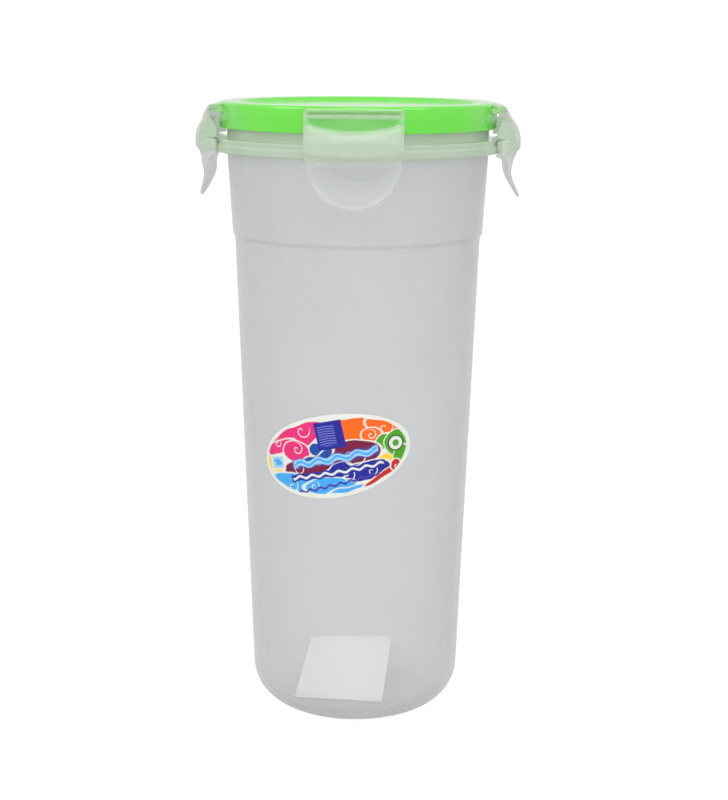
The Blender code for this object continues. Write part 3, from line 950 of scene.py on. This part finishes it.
def build_latch(side, material):
    """One latch: a bowed skin, a thick hook block and a flared thumb tab with a raised bead."""
    columns = 44
    bm = bmesh.new()
    haze = bm.verts.layers.float.new("haze")
    outer_rows, inner_rows = [], []
    for z in latch_levels():
        half = latch_half_width(z)
        outer_row, inner_row = [], []
        for column in range(columns + 1):
            y = half * math.sin(math.pi / 2 * (2.0 * column / columns - 1.0))
            depth = edge_depth(y, z, half)
            for row, x in zip((outer_row, inner_row), latch_faces(side, y, z, depth)):
                vert = bm.verts.new((x, y, z))
                vert[haze] = latch_haze_and_highlight(y, z, depth)
                row.append(vert)
        outer_rows.append(outer_row)
        inner_rows.append(inner_row)
    for rows in (outer_rows, inner_rows):
        for upper, lower in zip(rows, rows[1:]):
            for i in range(columns):
                bm.faces.new([upper[i], upper[i + 1], lower[i + 1], lower[i]])
    for i in range(len(outer_rows) - 1):
        for column in (0, columns):
            bm.faces.new([outer_rows[i][column], outer_rows[i + 1][column],
                          inner_rows[i + 1][column], inner_rows[i][column]])
    for i in range(columns):
        for row in (0, -1):
            bm.faces.new([outer_rows[row][i], outer_rows[row][i + 1],
                          inner_rows[row][i + 1], inner_rows[row][i]])
    return turn_to_side(finish_mesh("latch_plate_" + side, bm, material), side)


def build_web(side, material):
    """The thin film between lug and latch, made of many sections."""
    start, end = LUG_FACE + 0.02, LATCH_ROOT - 0.02
    top, thickness, drop, waist = LUG_TOP - 0.04, 0.48, 0.22, 0.12
    steps, count = 10, 24
    half = LUG_HALF_WIDTH - 0.3
    ring_top, ring_bottom = [], []
    for i in range(steps + 1):
        t = i / steps
        x = start + (end - start) * t
        ring_top.append((x, top - drop * t))
        ring_bottom.append((x, top - drop * t - thickness + waist * math.sin(math.pi * t)))
    ring = ring_top + ring_bottom[::-1]
    sections = [[(x, half * (2.0 * j / count - 1.0), z) for x, z in ring] for j in range(count + 1)]
    return turn_to_side(finish_mesh("hinge_film_" + side, loft(sections), material), side)


# ---------------------------------------------------------------------------- studio

# Camera: its place in metres before the whole view turns by the azimuth, and its angles in radians
VIEW_AZIMUTH = math.radians(1.3)
CAMERA_PLACE = (0.0027, -0.608, 0.243)
CAMERA_TILT = math.radians(90.0 - 12.08)
CAMERA_ROLL = 0.007
CAMERA_LENS = 76.98

# How strongly the room lights things from low down and from high up
ROOM_LIGHT = (0.84, 0.90)
# Brightness to the camera through clear plastic and directly
BACKDROP_SEEN = (0.64, 1.0)
FLOOR_SEEN = (0.25, 0.72)
FLOOR_GLOW = 0.33

# Lights: name, place, target and size in metres, power in watts, whether it casts shadows
LIGHTS = [
    ("key_left", (-1.2, -0.7, 0.8), (0.0, 0.0, 0.2), (0.7, 0.7), 4.0, True),
    ("fill_right", (1.0, -0.95, 0.8), (0.0, 0.0, 0.2), (0.6, 0.6), 3.0, True),
    ("front_soft", (0.0, -1.3, 1.1), (0.0, 0.0, 0.15), (1.0, 0.45), 10.0, False),
]


def add_area_light(name, location, target, size, power, shadows):
    """A soft rectangular light that faces its target."""
    light = bpy.data.lights.new(name, "AREA")
    light.shape = "RECTANGLE"
    light.size, light.size_y = size
    light.energy = power
    light.use_shadow = shadows
    obj = bpy.data.objects.new(name, light)
    obj.location = location
    obj.rotation_euler = (Vector(target) - Vector(location)).to_track_quat("-Z", "Y").to_euler()
    bpy.context.collection.objects.link(obj)


def white_to_camera(tree, lighting, behind, direct):
    """One number for light, one for what shows through clear plastic, one for what is seen directly."""
    path = add_node(tree, "ShaderNodeLightPath")
    camera = Field(tree, path.outputs["Is Camera Ray"])
    through = Field(tree, path.outputs["Transparent Depth"]).at_most(1.0)
    shown = through * (behind - direct) + direct
    return camera * shown + (camera * -1.0 + 1.0) * lighting


def build_world():
    """A plain bright backdrop, and a room whose light is a little stronger from above."""
    world = bpy.data.worlds.new("studio")
    world.use_nodes = True
    bpy.context.scene.world = world
    tree = world.node_tree
    tree.nodes.clear()
    output = add_node(tree, "ShaderNodeOutputWorld")
    background = add_node(tree, "ShaderNodeBackground")
    coordinates = add_node(tree, "ShaderNodeTexCoord")
    split = add_node(tree, "ShaderNodeSeparateXYZ")
    tree.links.new(coordinates.outputs["Generated"], split.inputs["Vector"])
    ramp = add_node(tree, "ShaderNodeMapRange", interpolation_type="SMOOTHSTEP")
    ramp.inputs["From Min"].default_value = 0.05
    ramp.inputs["From Max"].default_value = 0.80
    ramp.inputs["To Min"].default_value = ROOM_LIGHT[0]
    ramp.inputs["To Max"].default_value = ROOM_LIGHT[1]
    tree.links.new(split.outputs["Z"], ramp.inputs["Value"])
    seen = white_to_camera(tree, Field(tree, ramp.outputs["Result"]), *BACKDROP_SEEN)
    tree.links.new(seen.socket, background.inputs["Strength"])
    background.inputs["Color"].default_value = (1.0, 1.0, 1.0, 1.0)
    tree.links.new(background.outputs["Background"], output.inputs["Surface"])


def build_floor():
    """A wide pale floor whose far edge melts into the backdrop."""
    material, tree, shader = new_material("studio_floor")
    tone = spread(tree, noise(tree, 3.0), 0.0, 1.0)
    tree.links.new(mix_colours(tree, tone, (0.34, 0.34, 0.34), (0.36, 0.36, 0.36)),
                   shader.inputs["Base Color"])
    shader.inputs["Roughness"].default_value = 0.9
    shader.inputs["Emission Color"].default_value = (1.0, 1.0, 1.0, 1.0)
    glow = white_to_camera(tree, Field.of(tree, FLOOR_GLOW), *FLOOR_SEEN)
    tree.links.new(glow.socket, shader.inputs["Emission Strength"])
    bm = bmesh.new()
    bmesh.ops.create_circle(bm, cap_ends=True, segments=96, radius=6000.0)
    floor = finish_mesh("studio_floor", bm, material)
    floor.location.z = -0.0002


def build_camera():
    """The camera, at the photograph's viewing angle."""
    data = bpy.data.cameras.new("camera")
    data.sensor_width = 36.0
    data.lens = CAMERA_LENS
    camera = bpy.data.objects.new("camera", data)
    turn = Matrix.Rotation(VIEW_AZIMUTH, 4, "Z")
    shift = Matrix.Translation(CAMERA_PLACE)
    tilt = Matrix.Rotation(CAMERA_TILT, 4, "X")
    roll = Matrix.Rotation(CAMERA_ROLL, 4, "Z")
    camera.matrix_world = turn @ shift @ tilt @ roll
    bpy.context.collection.objects.link(camera)
    bpy.context.scene.camera = camera


# ---------------------------------------------------------------------------- assembly

def place(obj, body, node):
    """Puts a piece on its body, in the place of a CAD node."""
    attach(obj, body)
    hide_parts(node)


def main():
    build_camera()
    materials = make_materials()
    place(build_jar(materials["jar"]), "canister", "canister_body")
    place(build_sticker(materials["sticker"]), "canister", "front_sticker")
    place(build_slip(materials["paper"]), "canister", "paper_slip")
    place(build_frame(materials["frame"]), "lid", "lid_frame")
    place(build_cover(materials["cover"]), "lid", "lid_cover")
    place(build_gasket(materials["gasket"]), "lid", "gasket")
    for side in SIDES:
        latch = "latch_" + side
        place(build_latch(side, materials["latch"]), latch, latch)
        web = build_web(side, materials["frame"])
        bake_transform(web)
        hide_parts("hinge_web_" + side)

    build_world()
    build_floor()
    for light in LIGHTS:
        add_area_light(*light)
    bpy.context.scene.view_settings.view_transform = "Standard"


main()
